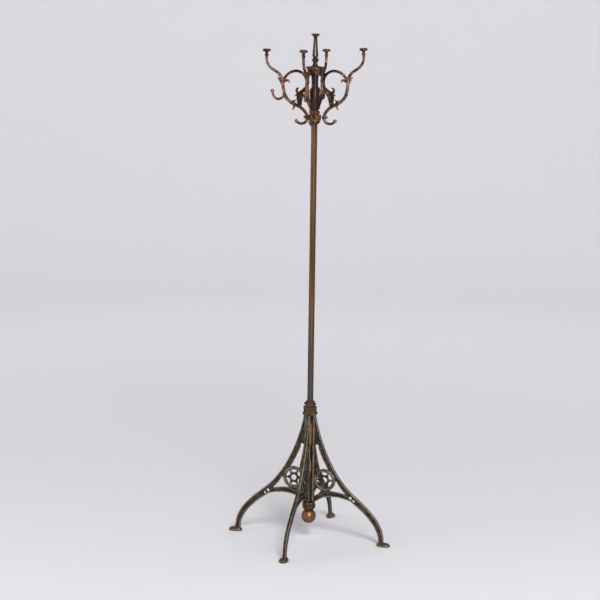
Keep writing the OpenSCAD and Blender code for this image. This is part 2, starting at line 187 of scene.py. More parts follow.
# %% Draw bars and plates
def new_curve(name, loops, closed, flat):
    """Start from a curve primitive and give it these lines of (outwards, up) points in millimetres."""
    pick()
    bpy.ops.curve.primitive_bezier_curve_add()
    item = bpy.context.object
    item.name = name
    curve = item.data
    curve.splines.clear()
    curve.dimensions = "2D" if flat else "3D"
    for loop in loops:
        line = curve.splines.new("POLY")
        line.points.add(len(loop) - 1)
        for point, (out, up) in zip(line.points, loop):
            point.co = (out * MM, up * MM, 0, 1)
        line.use_cyclic_u = closed
    return item


def stand_up(item, squeeze=1.0):
    """Turn a drawing upright, so that its second direction is up, and make it a mesh."""
    pick(item)
    bpy.ops.object.convert(target="MESH")
    item = bpy.context.object
    item.matrix_world = Matrix.Rotation(math.pi / 2, 4, "X") @ Matrix.Diagonal((1, 1, squeeze, 1))
    return settle(item)


def bar(name, path, sizes, squeeze=1.0):
    """A round bar along a path; sizes are (share of the way, radius in millimetres)."""
    item = new_curve(name, [path], False, False)
    curve = item.data
    curve.bevel_depth = MM
    curve.bevel_resolution = 3
    curve.use_fill_caps = True
    for i, point in enumerate(curve.splines[0].points):
        point.radius = between(i / (len(path) - 1), sizes)
    return stand_up(item, squeeze)


def plate(name, loops, thickness, edge=0.8):
    """A flat plate with holes; the first loop is its outline."""
    item = new_curve(name, loops, True, True)
    curve = item.data
    curve.fill_mode = "BOTH"
    curve.extrude = (thickness / 2 - edge) * MM
    curve.bevel_depth = edge * MM
    curve.offset = -edge * MM
    curve.bevel_resolution = 1
    return stand_up(item)


def smooth_line(points, steps=5):
    """A soft line through all the points, which may carry a radius as a third number."""
    line = []
    for i in range(len(points) - 1):
        before, a, b, after = (points[min(max(k, 0), len(points) - 1)] for k in (i - 1, i, i + 1, i + 2))
        for j in range(steps):
            t = j / steps
            line.append(tuple(
                q + 0.5 * t * (r - p + t * (2 * p - 5 * q + 4 * r - n + t * (3 * (q - r) + n - p)))
                for p, q, r, n in zip(before, a, b, after)))
    return line + [points[-1]]


def between(share, table):
    """Straight-line reading of a small table of (place, value) pairs."""
    for (a, low), (b, high) in zip(table, table[1:]):
        if share <= b:
            return low + (high - low) * max(share - a, 0) / (b - a)
    return table[-1][1]


print("bars and plates are ready")

# %% [markdown]
# ## Lines for the castings
# The same few curves as the solids use: a cubic Bezier for a leg's sweeping edges, a chain of tangent arcs
# for a scroll, and the line that runs beside another at a fixed distance.

# %% Draw the lines
def bezier(a, b, c, d, steps=16):
    """Points along a cubic Bezier curve."""
    points = []
    for i in range(steps + 1):
        t = i / steps
        u = 1 - t
        weights = (u ** 3, 3 * u * u * t, 3 * u * t * t, t ** 3)
        points.append(tuple(sum(w * p[k] for w, p in zip(weights, (a, b, c, d))) for k in (0, 1)))
    return points


def beside(path, distance):
    """The line at a distance to the left of a path."""
    points = []
    for i, (x, y) in enumerate(path):
        x0, y0 = path[max(i - 1, 0)]
        x1, y1 = path[min(i + 1, len(path) - 1)]
        length = math.hypot(x1 - x0, y1 - y0)
        points.append((x - distance * (y1 - y0) / length, y + distance * (x1 - x0) / length))
    return points


def ring_line(centre, radius, start=0, end=360, steps=40):
    """Points on an arc, in degrees."""
    points = []
    for i in range(steps + 1):
        a = math.radians(start + (end - start) * i / steps)
        points.append((centre[0] + radius * math.cos(a), centre[1] + radius * math.sin(a)))
    return points[:-1] if end - start == 360 else points


def scroll(start, heading, arcs, step=6):
    """Walk a chain of tangent arcs, each (radius, turn in degrees), from a point and a heading."""
    x, y = start
    points = [(x, y)]
    for radius, bend in arcs:
        r = radius if bend > 0 else -radius
        a = math.radians(heading)
        cx, cy = x - math.sin(a) * r, y + math.cos(a) * r
        count = math.ceil(abs(bend) / step)
        for k in range(1, count + 1):
            a = math.radians(heading + bend * k / count)
            points.append((cx + math.sin(a) * r, cy - math.cos(a) * r))
        x, y = points[-1]
        heading += bend
    return points


print("lines are ready")

# %% [markdown]
# ## Turned shapes
# Hat pegs, rings, the crown and the finial are round about an axis, as if turned on a lathe. One point
# is drawn out into a half profile by extruding it again and again, and the profile is spun around the axis.

# %% Turn a profile on the lathe
def lathe(name, profile, foot=(0, 0, 0), steps=48):
    """Spin a half profile of (radius, height) in millimetres around the Z axis through foot, in metres."""
    pick()
    r0, z0 = profile[0]
    bpy.ops.mesh.primitive_plane_add(size=MM, location=(0, 0, 0))
    item = bpy.context.object
    item.name = name
    bpy.ops.object.mode_set(mode="EDIT")
    bpy.ops.mesh.select_all(action="SELECT")
    bpy.ops.mesh.merge(type="CENTER")
    bpy.ops.transform.translate(value=(r0 * MM, 0, z0 * MM))
    for (ra, za), (rb, zb) in zip(profile, profile[1:]):
        bpy.ops.mesh.extrude_region_move(TRANSFORM_OT_translate={"value": ((rb - ra) * MM, 0,
                                                                           (zb - za) * MM)})
    bpy.ops.mesh.select_all(action="SELECT")
    bpy.ops.mesh.spin(steps=steps, angle=2 * math.pi, center=(0, 0, 0), axis=(0, 0, 1))
    bpy.ops.mesh.select_all(action="SELECT")
    bpy.ops.mesh.remove_doubles(threshold=0.00002)
    bpy.ops.mesh.normals_make_consistent(inside=False)
    bpy.ops.object.mode_set(mode="OBJECT")
    item.location = foot
    return settle(item)


def knob(name, spot, radius, stretch=(1, 1, 1)):
    """A ball at a place in metres, radius in millimetres, stretched along the axes."""
    pick()
    bpy.ops.mesh.primitive_uv_sphere_add(segments=24, ring_count=16, radius=radius * MM, location=spot)
    item = bpy.context.object
    item.name = name
    item.scale = stretch
    return settle(item)


print("the lathe is ready")

# %% [markdown]
# ## A leg
# Each leg is one flat casting: a pierced web with a raised bead along both edges, a ring with a six-pointed
# star in it, and a paw-like foot. It could be carved from a block, but a founder thinks in drawings, so the
# web is a flat outline with its openings as inner loops, and the beads are bars that follow its edges,
# thick on the outside of the leg and thin beside its openings.

# %% Draw the edges of a leg
WEB = 5
BEAD = 5.2
BEAD_DEEP = 12.4
RING = (57.5, 222)
RING_OUT = 41
RING_IN = 28.5

outer_edge = bezier((22, 458), (42, 352), (92, 240), (163, 180))
outer_edge += bezier((163, 180), (215, 136), (281, 92), (281, 12))[1:]
under_edge = bezier((261, 12), (261, 72), (204, 116), (153, 153))
under_edge += bezier((153, 153), (118, 164), (62, 172), (30, 142))[1:]
outline = outer_edge + [(279, 4), (263, 4)] + under_edge + [(21, 141), (21, 113), (11, 113), (11, 458)]

tall_opening = bezier((37, 264), (32, 285), (27, 310), (22, 341))
tall_opening += bezier((22, 341), (22, 354), (32, 354), (35, 341))
tall_opening += bezier((35, 341), (43, 318), (55, 294), (70, 266)) + ring_line(RING, RING_OUT, 72, 120, 8)
side_opening = ring_line(RING, RING_OUT, -66, -4, 12)
side_opening += bezier((102, 221), (110, 205), (124, 188), (139, 173))
side_opening += [(127, 177), (115, 179.5), (103, 181), (89, 183)]
corner_opening = ring_line(RING, RING_OUT, 226, 252, 6) + [(36, 170), (20, 160), (21, 172)]
ring_opening = ring_line(RING, RING_IN)
round_holes = [ring_line((155, 165), 5, steps=16), ring_line((167, 155), 4, steps=16)]
print("a leg's outline has", len(outline), "points, and its web has", 4 + len(round_holes), "openings")

# %% Build the web, the beads, the ring and its star
openings = [tall_opening, side_opening, corner_opening, ring_opening] + round_holes
web = plate("web", [outline] + openings, WEB)
beads = []
for edge in (outer_edge, under_edge):
    beads.append(bar("bead", beside(edge, -BEAD / 2), [(0, BEAD / 2), (1, BEAD / 2)], BEAD_DEEP / BEAD))

THIN_BEAD = 1.8
THIN_DEEP = 2.7
arch_top = smooth_line([(146, 169, 1), (128, 175.5, 1), (104, 180, 1), (80, 181, 1), (56, 176, 1),
                        (34, 163, 1)])
inner_edges = [[(x, y) for x, y, r in arch_top], bezier((34, 341), (42, 318), (54, 294), (69, 266)),
               bezier((104, 221), (112, 205), (126, 188), (141, 174))]
for edge in inner_edges:
    beads.append(bar("thin_bead", edge, [(0, THIN_BEAD), (1, THIN_BEAD)], THIN_DEEP))

ring_mid = (RING_OUT + RING_IN) / 2
ring_wide = (RING_OUT - RING_IN) / 2
ring_path = ring_line(RING, ring_mid) + [(RING[0] + ring_mid, RING[1])]
ring = bar("ring", ring_path, [(0, ring_wide), (1, ring_wide)], 0.88)
star_tips = []
for i in range(12):
    reach = RING_IN + 2 if i % 2 == 0 else 16.5
    corner = math.radians(30 * i)
    star_tips.append((RING[0] + reach * math.cos(corner), RING[1] + reach * math.sin(corner)))
star = plate("star", [star_tips, ring_line(RING, 10, steps=24)], WEB - 1)
rib = plate("rib", [[(11, 141), (18, 141), (18, 458), (11, 458)]], BEAD_DEEP)
print("the leg has a web,", len(beads), "beads, a ring with its star, and a rib along the pole")

# %% [markdown]
# ## The foot
# The foot is a paw: a flat sole with a rounded heel and a higher toe, all softened by years of polish. Three
# squashed balls overlap, and the cast skin joins them. The sole is cut flat on the floor last of all.

# %% Build the foot and cast the leg
FOOT_R = 280
LEG_GRAIN = 1.25
sole = knob("sole", (FOOT_R * MM, 0, 0.0045), 1, (24.6, 16.6, 6.8))
heel = knob("heel", ((FOOT_R - 14) * MM, 0, 0.004), 1, (11, 11.5, 10))
toe = knob("toe", ((FOOT_R + 7) * MM, 0, 0.003), 1, (17, 14.5, 10.5))
leg = joined("leg_casting", [web] + beads + [ring, star, rib, sole, heel, toe])
cast(leg, LEG_GRAIN, 3)
trim_below(leg, 0)
print("one leg has", len(leg.data.polygons), "faces")

# %% Set four legs around the pole
legs = []
for i, side in enumerate(SIDES):
    piece = turned(twin(leg, "cast_leg_" + side), math.radians(90 * i))
    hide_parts("leg_" + side)
    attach(piece, "stand")
    legs.append(piece)
bpy.data.objects.remove(leg)
print("legs:", [piece.name for piece in legs])

# %% [markdown]
# ## The fittings at the foot of the pole
# An eight-sided collar clamps the tops of the legs, and a round hub holds their lugs, with the ball under it.
# A lathe with only eight steps turns an octagon, so the same helper makes both kinds. A thin flange at the
# bottom of the collar and a bead at its top throw the small shadows that give it scale.

# %% Build the collar and the hub
COLLAR_Z = base_mm("base_collar")
FLAT_TO_CORNER = 1 / math.cos(math.pi / 8)
FITTING_GRAIN = 0.8


def fitting(name, node, profile, height, body, steps=48, angle=0, extras=()):
    """A turned and cast fitting with a closed profile, that stands for a node."""
    item = lathe(name, profile + profile[:1], (0, 0, height * MM), steps)
    turned(item, angle)
    item = joined(name, [item, *extras])
    cast(item, FITTING_GRAIN, 2)
    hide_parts(node)
    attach(item, body)
    return item


def octagon(profile):
    """The profile of an eight-sided shape, from its distances across the flats to its corners."""
    return [(r * FLAT_TO_CORNER, z) for r, z in profile]


collar_profile = [(10.8, 0), (23.5, 0), (25, 1.5), (25, 7.5), (23.8, 9), (22, 9.6), (22, 25.4), (23, 26.2),
                  (23, 28.6), (21.4, 30), (10.8, 30)]
collar = fitting("collar", "base_collar", octagon(collar_profile), COLLAR_Z, "stand", 8,
                 angle=math.pi / 8)
HUB_Z = base_mm("base_hub")
hub_profile = [(4.5, 0), (15.5, 0), (18.5, 2.4), (20.6, 7), (21.6, 13), (21.6, 20), (20.5, 25), (18, 27),
               (10.8, 27), (10.8, 9), (4.5, 9)]
ridges = []
for i in range(4):
    for spread, wide in ((0, 5.6), (45, 4.2)):
        ridge = knob("ridge", (0.0192, 0, (HUB_Z + 15) * MM), 1, (5.6, wide, 14))
        ridges.append(turned(ridge, math.radians(90 * i + spread)))
hub = fitting("hub", "base_hub", hub_profile, HUB_Z, "stand", extras=ridges)
print("collar and hub:", len(collar.data.polygons), "and", len(hub.data.polygons), "faces")

# %% [markdown]
# ## The ball
# Under the hub hangs a copper-washed ball on a short rod. It is turned from a half circle, with a flat
# where it meets the washer, and with a faint step at its neck.

# %% Turn the ball
BALL_R = 26
BALL_Z = 84.3
ball_profile = [(4.5, 21.9), (13.5, 21.9)]
for i in range(4, 31):
    a = math.radians(90 - 180 * (i + 1) / 31)
    if BALL_R * math.sin(a) < 21.5:
        ball_profile.append((BALL_R * math.cos(a), BALL_R * math.sin(a)))
ball_profile[-1] = (0, -BALL_R)
ball_profile.append((0, -8))
ball_profile.append((4.5, -8))
ball = lathe("turned_ball", ball_profile + ball_profile[:1], (0, 0, BALL_Z * MM), 64)
pick(ball)
bpy.ops.object.shade_smooth_by_angle(angle=math.radians(40))
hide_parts("ball")
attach(ball, "stand")
print("the ball has", len(ball.data.polygons), "faces")

# %% [markdown]
# ## The turning block
# The lower screws of the arms go into an eight-sided block, which turns on the pole with a flanged ring
# above it. Both are bored a little wider than the pole, so that the head turns freely.

# %% Build the block and the flanged ring
HEAD_TURN = math.radians(4.2)
block_profile = [(11.1, 0), (21.2, 0), (21.8, 1), (21.8, 3.4), (21, 4), (21, 15.4), (21.8, 16), (21.8, 18.4),
                 (21.2, 19.4), (11.1, 19.4)]
BLOCK_Z = base_mm("arm_block")
block = fitting("block", "arm_block", octagon(block_profile), BLOCK_Z, "head", 8,
                angle=HEAD_TURN + math.pi / 8)
flange_profile = [(11.1, 0), (16, 0), (16, 5), (19, 5.6), (19.5, 6.4), (19.5, 9.6), (18.4, 11), (11.1, 11)]
flange = fitting("flange", "flange_ring", flange_profile, base_mm("flange_ring"), "head")
print("block and flange:", len(block.data.polygons), "and", len(flange.data.polygons), "faces")

# %% [markdown]
# ## The crown
# The arms hang by their tongues from the crown, a lobed casting that drops over the top of the pole. Its
# body is turned with a bore from below. One rounded lobe is modelled and copied eight times around it, and
# two thin cheeks stand on both sides of each tongue.

# %% Build the crown
CROWN_Z = base_mm("crown")
crown_profile = [(0, 20), (11.3, 20), (11.3, 0), (19, 0), (21.5, 3), (22.5, 9), (23.4, 16.5), (26, 19.5),
                 (27, 22), (27, 29), (25.6, 30.8), (14, 32.7), (11, 33.4), (0, 33.4)]
crown_body = lathe("crown_body", crown_profile, (0, 0, CROWN_Z * MM))
lobe_profile = [(0, 3), (3.4, 3), (4.6, 6), (4.6, 16), (5.4, 20), (5.6, 25), (4.6, 29), (0, 30.6)]
lobe = lathe("lobe", lobe_profile, (0.0222, 0, CROWN_Z * MM), 20)
crown_parts = [crown_body]
for i in range(8):
    crown_parts.append(turned(twin(lobe, "lobe_" + str(i)), math.radians(45 * i)))
bpy.data.objects.remove(lobe)
for i in range(4):
    for across in (-5.2, 5.2):
        pick()
        bpy.ops.mesh.primitive_cube_add(size=MM, location=(0.0235, across * MM, (CROWN_Z + 6) * MM))
        cheek = bpy.context.object
        cheek.scale = (9, 2.8, 12)
        crown_parts.append(turned(settle(cheek), math.radians(90 * i)))
crown = turned(joined("crown_casting", crown_parts), HEAD_TURN)
cast(crown, 0.65, 2)
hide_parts("crown")
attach(crown, "head")
print("the crown has", len(crown.data.polygons), "faces")

# %% [markdown]
# ## The finial
# A slender pierced spire ends the rack: a turned vase and collar at its foot, then four thin bars that draw
# together under a flat disc. The outline is turned solid, and then two crossing slots are cut through with
# a tapered cutter, the way a file would open a casting.

# %% Turn the finial and cut its slots
FINIAL_Z = base_mm("finial")
finial_profile = [(0, 0), (12, 0), (9.4, 2.6), (7.8, 6.5), (7.6, 9.5), (8, 13), (10, 16.5), (12.4, 20.3),
                  (12.6, 22), (11.8, 23.4), (9, 24.6), (7.6, 26.6), (7.6, 28.5), (8.6, 30.4), (10.2, 33),
                  (10.3, 36), (9, 52), (7.8, 70), (6.6, 88), (6.2, 92), (6.2, 95), (6.8, 97.8), (8, 100.2),
                  (10, 102), (13, 103.6), (14.3, 104.6), (14.5, 107), (12.8, 109), (6, 110.1), (0, 110.3)]
finial = lathe("finial_spire", finial_profile, (0, 0, FINIAL_Z * MM), 48)
slot = [(-2.8, 34), (-1.6, 32.4), (1.6, 32.4), (2.8, 34), (3.2, 38), (1.3, 88), (0, 91.5), (-1.3, 88),
        (-3.2, 38)]
slot = [(x, z + FINIAL_Z) for x, z in reversed(slot)]
for i in range(2):
    cutter = turned(plate("cutter", [slot], 60, 0), math.radians(90 * i))
    add_modifier(finial, "BOOLEAN", operation="DIFFERENCE", solver="EXACT", object=cutter)
    bpy.data.objects.remove(cutter)
turned(finial, HEAD_TURN)
cast(finial, 0.5, 2)
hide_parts("finial")
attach(finial, "head")
print("the finial has", len(finial.data.polygons), "faces")

# %% [markdown]
# ## An arm
# An arm is drawn as one long stroke from the hat peg down to the ball of the low hook. Its loop leaves that
# stroke, swings up over the crown and comes back down into the leaf, and the coat hook grows out below.
# A smith would bend bars for this, but the founder had a carved pattern: the bars swell and taper, and leaves
# cover the joints.

# %% Draw an arm's strokes
TONGUE = (30, CROWN_Z + 5)
SCREW_Z = BLOCK_Z + 9.7


def on_arm(out, up):
    """A point given from the arm's tongue."""
    return (TONGUE[0] + out, TONGUE[1] + up)


PEG = on_arm(143, 53)

stem = scroll(PEG, -90, [(44, -56), (209, -5), (45, 58), (165, -12), (58, -47), (141, -8), (63, 44),
                         (21.5, 170)])
loop = scroll(on_arm(81.4, -23), 110, [(51, 57), (37, 93), (55, 21), (77, 19), (83, -21), (125, -7)])
hook = scroll(on_arm(76.5, -67), -80, [(25, 66), (18.5, 70), (38, 32)])
stem_sizes = [(0, 4.6), (0.15, 5.1), (0.3, 5.8), (0.5, 5.8), (0.75, 5.2), (1, 4.3)]
loop_sizes = [(0, 5), (0.4, 4.9), (0.8, 4.8), (1, 5.2)]
hook_sizes = [(0, 5), (0.6, 4.6), (1, 3.8)]
print("an arm's strokes have", len(stem), len(loop), len(hook), "points")

# %% [markdown]
# ## Leaves
# The leaves of the arm are acanthus tips: flat, swelling from the stalk, and curled over at the end. Each
# is a flattened bar whose radius follows the leaf's width. The great leaf in the loop is two such bars side
# by side with a valley between them, which the finish darkens as painted shade.

# %% Draw the leaves
LEAF_BODY = [(23.5, -107, 5), (25.6, -96, 7.2), (26.2, -84, 8.8), (24, -72.5, 9.4), (18.7, -64.5, 8),
             (12, -57, 5.6), (5, -48, 4.4)]
LEAF_TIP = [(22, -72, 5), (29, -65.5, 5.4), (33.4, -60.5, 5), (34.8, -54.8, 4.4), (31.6, -50, 3.6),
            (27, -47.6, 2)]
SMALL_LEAVES = [
    [(26, -69, 5), (32, -70.6, 4), (36, -72.6, 3), (40.5, -75.4, 1.8)],
    [(82, -42, 4), (86, -34, 5.6), (90, -27, 5.2), (96, -19, 4.2), (103, -13, 2)],
    [(81, -29, 4.2), (75, -25.5, 4.4), (69, -22.5, 4.2), (65, -23, 3.8), (62.6, -26, 3.2), (61, -31.5, 1.9)],
    [(50, -93, 4), (45, -94.6, 3.6), (41, -93, 3), (38.5, -88, 1.7)],
    [(40, -98, 4.6), (42, -105, 5), (42.6, -112, 4.2), (45, -119, 3.2), (49.5, -124, 1.8)],
]
LEAF_FLAT = 0.8


def leaf(points, shift=0, share=1.0):
    """A flattened bar through (outwards, up, radius) points, moved sideways by a share of its radius."""
    line = smooth_line(points)
    path = [on_arm(out, up) for out, up, r in line]
    shifted = []
    for (x, y), (bx, by), (out, up, r) in zip(path, beside(path, 1), line):
        shifted.append((x + (bx - x) * shift * r, y + (by - y) * shift * r))
    places = [(i / (len(line) - 1), r * share) for i, (out, up, r) in enumerate(line)]
    return bar("leaf", shifted, places, LEAF_FLAT)


leaves = [leaf(LEAF_BODY, 0.5, 0.5), leaf(LEAF_BODY, -0.5, 0.5), leaf(LEAF_BODY, 0, 0.3), leaf(LEAF_TIP)]
leaves += [leaf(points) for points in SMALL_LEAVES]
print("an arm has", len(leaves) - 2, "leaves and tips")

# %% [markdown]
# ## Putting an arm together
# The hat peg is turned: a bead on the stalk, and a flat mushroom on top for the hat. The hooks end in balls
# so that they don't mark a collar. Three arms keep their coat hook, and the right one has lost it,
# so there is an arm with the hook and one with a stub.

# %% Build both kinds of arm
BALL_END = 6.6
ARM_GRAIN = 0.8
peg_profile = [(0, -3), (4.6, -3), (4.6, 4), (5, 6), (6.6, 8.8), (7, 10.6), (6.6, 12.4), (5, 14.8), (4.5, 17),
               (5, 19.4), (7, 21.2), (10, 22.2), (12.8, 22.8), (14.3, 24), (14.3, 27.2), (12.8, 29.6),
               (8.4, 31.5), (0, 32)]


def point(place):
    """A place on the arm as a point in metres."""
    return (place[0] * MM, 0, place[1] * MM)


arm_parts = [bar("stem", stem, stem_sizes), bar("loop", loop, loop_sizes)] + leaves
arm_parts.append(lathe("peg", peg_profile, point(PEG), 40))
arm_parts.append(knob("low_ball", point(stem[-1]), BALL_END))
arm_parts.append(plate("tongue", [[(20, CROWN_Z), (20, CROWN_Z + 9), (40, CROWN_Z + 9), (36, CROWN_Z)]], 7))
arm_parts.append(bar("pad", [(19.4, SCREW_Z), (34, SCREW_Z), (38.4, SCREW_Z)],
                     [(0, 5.2), (0.75, 5.2), (1, 4.6)]))
stub = bar("stub", hook[:6], [(0, 4.6), (1, 3.6)])
hooked = [bar("hook", hook, hook_sizes), knob("hook_ball", point(hook[-1]), BALL_END)]

plain_arm = joined("plain_arm", [twin(part, "part") for part in arm_parts] + [stub])
whole_arm = joined("whole_arm", arm_parts + hooked)
for kind in (plain_arm, whole_arm):
    cast(kind, ARM_GRAIN, 2)
print("an arm has", len(whole_arm.data.polygons), "faces")

# %% Hang the four arms
LEAN = math.radians(3)
arms = []
for i, side in enumerate(SIDES):
    piece = twin(plain_arm if side == "right" else whole_arm, "scroll_arm_" + side)
    if side == "right":
        turned(piece, -LEAN, "Y", point(TONGUE))
    turned(piece, HEAD_TURN + math.radians(90 * i))
    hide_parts("arm_" + side)
    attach(piece, "head")
    arms.append(piece)
bpy.data.objects.remove(plain_arm)
bpy.data.objects.remove(whole_arm)
print("arms:", [piece.name for piece in arms])

# %% [markdown]
# ## Finishes
# Every finish is a small network of nodes that reads Object coordinates, which here are metres in the frame
# of the rack. Patches, streaks and grain are noise at a real size, and each one only moves the colour, the
# roughness or the bump of one Principled shader. Worn edges come from Pointiness, which is above one half on
# an outer edge and below it in a valley. Old wax and oxide dull a metal where it is seen at a flat angle,
# so the shaders' edge reflection is brown, which draws the dark outlines of the bars.

# %% Helpers for finishes
EDGE_TONE = "6e6056"


def colour(code):
    """An sRGB colour code as linear numbers for a socket."""
    parts = [int(code[i:i + 2], 16) / 255 for i in (0, 2, 4)]
    return tuple(p / 12.92 if p <= 0.04045 else ((p + 0.055) / 1.055) ** 2.4 for p in parts) + (1.0,)


def finish(name, base, roughness, metallic):
    """Start a finish with its fixed values, and return the material and its shader."""
    material = bpy.data.materials.new(name)
    material.use_nodes = True
    shader = material.node_tree.nodes["Principled BSDF"]
    shader.inputs["Base Color"].default_value = colour(base)
    shader.inputs["Roughness"].default_value = roughness
    shader.inputs["Metallic"].default_value = metallic
    shader.inputs["Specular Tint"].default_value = colour(EDGE_TONE)
    return material, shader


def add_node(material, kind, inputs=None, **settings):
    """Add a node with its settings; an input is a value or the output socket that feeds it."""
    node = material.node_tree.nodes.new("ShaderNode" + kind)
    for key, value in settings.items():
        setattr(node, key, value)
    for key, value in (inputs or {}).items():
        if isinstance(value, bpy.types.NodeSocket):
            material.node_tree.links.new(value, node.inputs[key])
        else:
            node.inputs[key].default_value = value
    return node


def wear(item, material):
    """Give every face of an object this finish."""
    item.data.materials.clear()
    item.data.materials.append(material)


print("helpers for finishes are ready")

# %% [markdown]
# ## Bronzed and coppered castings
# Cast iron was bronzed or coppered and then lacquered, and a century of hands and dusters has worn the
# raised edges bright. One function holds what these finishes share: patches of patina about 12 mm wide,
# worn edges, painted shade that darkens the valleys, the sand grain of the mould, and orange rust where
# something is asked for. The grain of moulding sand is about 0.3 mm and would not show, so it is drawn at 1.5
# mm.

# %% The finish of a casting
PATCH = 0.012
CLOUD = 0.035
GRAIN = 0.0015


def casting_finish(name, base, patina, cloud, worn, shade_tone, roughness, metallic, ridge=None, stain=None,
                   tone="a5602c"):
    """A lacquered casting: patina patches and clouds, worn edges, painted shade in the valleys, and a stain.
    """
    material, shader = finish(name, base, roughness, metallic)
    place = add_node(material, "TexCoord").outputs["Object"]
    clouds = add_node(material, "TexNoise",
                      {"Vector": place, "Scale": 1 / CLOUD, "Detail": 3, "Roughness": 0.6})
    cloudy = add_node(material, "MapRange",
                      {"Value": clouds.outputs["Fac"], "From Min": 0.42, "From Max": 0.6})
    ground = add_node(material, "Mix", {0: cloudy.outputs[0], 6: colour(base), 7: colour(cloud)},
                      data_type="RGBA")
    patches = add_node(material, "TexNoise",
                       {"Vector": place, "Scale": 1 / PATCH, "Detail": 4, "Roughness": 0.6})
    patchy = add_node(material, "MapRange",
                      {"Value": patches.outputs["Fac"], "From Min": 0.46, "From Max": 0.66})
    skin = add_node(material, "Mix", {0: patchy.outputs[0], 6: ground.outputs[2], 7: colour(patina)},
                    data_type="RGBA")
    form = add_node(material, "NewGeometry").outputs["Pointiness"]
    ragged = add_node(material, "MapRange",
                      {"Value": patches.outputs["Fac"], "From Min": 0.3, "From Max": 0.7,
                                             "To Min": -0.02, "To Max": 0.02})
    raised = add_node(material, "Math", {0: form, 1: ragged.outputs[0]}, operation="ADD")
    bright = add_node(material, "MapRange",
                      {"Value": raised.outputs[0], "From Min": 0.506, "From Max": 0.565})
    rubbed = add_node(material, "Mix", {0: bright.outputs[0], 6: skin.outputs[2], 7: colour(worn)},
                      data_type="RGBA")
    # Painted shade: where Pointiness falls below one half, in valleys and inside corners, the colour goes
    # towards the dark shade tone.
    concave_shade = add_node(material, "MapRange", {"Value": raised.outputs[0], "From Min": 0.494, "From Max": 0.44})
    shade_mask = concave_shade.outputs[0]
    if ridge:
        hollow = ridge(material, place)
        shade_mask = add_node(material, "Math", {0: shade_mask, 1: hollow}, operation="MAXIMUM").outputs[0]
    with_painted_shade = add_node(material, "Mix", {0: shade_mask, 6: rubbed.outputs[2], 7: colour(shade_tone)}, data_type="RGBA")
    surface = with_painted_shade.outputs[2]
    if stain:
        mask = stain(material, place, patches.outputs["Fac"])
        surface = add_node(material, "Mix", {0: mask, 6: surface, 7: colour(tone)},
                           data_type="RGBA").outputs[2]
    material.node_tree.links.new(surface, shader.inputs["Base Color"])
    dull = add_node(material, "MapRange", {"Value": patches.outputs["Fac"], "From Min": 0.3, "From Max": 0.7,
                                           "To Min": roughness - 0.08, "To Max": roughness + 0.14})
    material.node_tree.links.new(dull.outputs[0], shader.inputs["Roughness"])
    sand = add_node(material, "TexNoise", {"Vector": place, "Scale": 1 / GRAIN, "Detail": 2})
    bump = add_node(material, "Bump", {"Height": sand.outputs["Fac"], "Strength": 0.35, "Distance": 0.0003})
    material.node_tree.links.new(bump.outputs[0], shader.inputs["Normal"])
    return material


def from_axis(material, place, spot=(0, 0)):
    """The distance of a point from an upright line at spot, as a socket."""
    apart = add_node(material, "VectorMath", {0: place, 1: (spot[0], spot[1], 0)}, operation="SUBTRACT")
    flat = add_node(material, "VectorMath", {0: apart.outputs[0], 1: (1, 1, 0)}, operation="MULTIPLY")
    return add_node(material, "VectorMath", {0: flat.outputs[0]}, operation="LENGTH").outputs["Value"]


def streak(material, place, patches, spot, reach, low, high, ragged=0.6):
    """A mask that is one near an upright line at spot, between two heights, with a ragged edge."""
    near = add_node(material, "MapRange", {"Value": from_axis(material, place, spot), "From Min": reach,
                                           "From Max": 0.5 * reach})
    height = add_node(material, "SeparateXYZ", {"Vector": place}).outputs["Z"]
    above = add_node(material, "MapRange",
                     {"Value": height, "From Min": low - 0.004, "From Max": low + 0.004})
    below = add_node(material, "MapRange",
                     {"Value": height, "From Min": high + 0.004, "From Max": high - 0.004})
    band = add_node(material, "Math", {0: above.outputs[0], 1: below.outputs[0]}, operation="MULTIPLY")
    both = add_node(material, "Math", {0: near.outputs[0], 1: band.outputs[0]}, operation="MULTIPLY")
    torn = add_node(material, "MapRange",
                    {"Value": patches, "From Min": 0.62, "From Max": 0.38, "To Max": ragged})
    left = add_node(material, "Math", {0: both.outputs[0], 1: torn.outputs[0]}, operation="SUBTRACT")
    return add_node(material, "MapRange",
                    {"Value": left.outputs[0], "From Min": 0.1, "From Max": 0.4}).outputs[0]


print("a casting's finish is ready")

# %% [markdown]
# ## Bronzed iron for the legs
# The legs are olive-brown, with a grey bloom where the lacquer has gone, painted shade in the hollows between
# their beads, and rust coming through on the soles. The collar is rustier. The rings and washers are plain
# turned solids with few points, and Pointiness takes all of those for edges, so their worn colour stays dull.

# %% Paint the legs, the collar and the rings
def sole_rust(material, place, patches):
    """Rust that rises from the floor into the feet."""
    height = add_node(material, "SeparateXYZ", {"Vector": place}).outputs["Z"]
    low = add_node(material, "MapRange",
                   {"Value": height, "From Min": 0.04, "From Max": 0.004, "To Max": 0.55})
    ragged = add_node(material, "MapRange",
                      {"Value": patches, "From Min": 0.35, "From Max": 0.6, "To Min": 0.4})
    return add_node(material, "Math", {0: low.outputs[0], 1: ragged.outputs[0]},
                    operation="MULTIPLY").outputs[0]


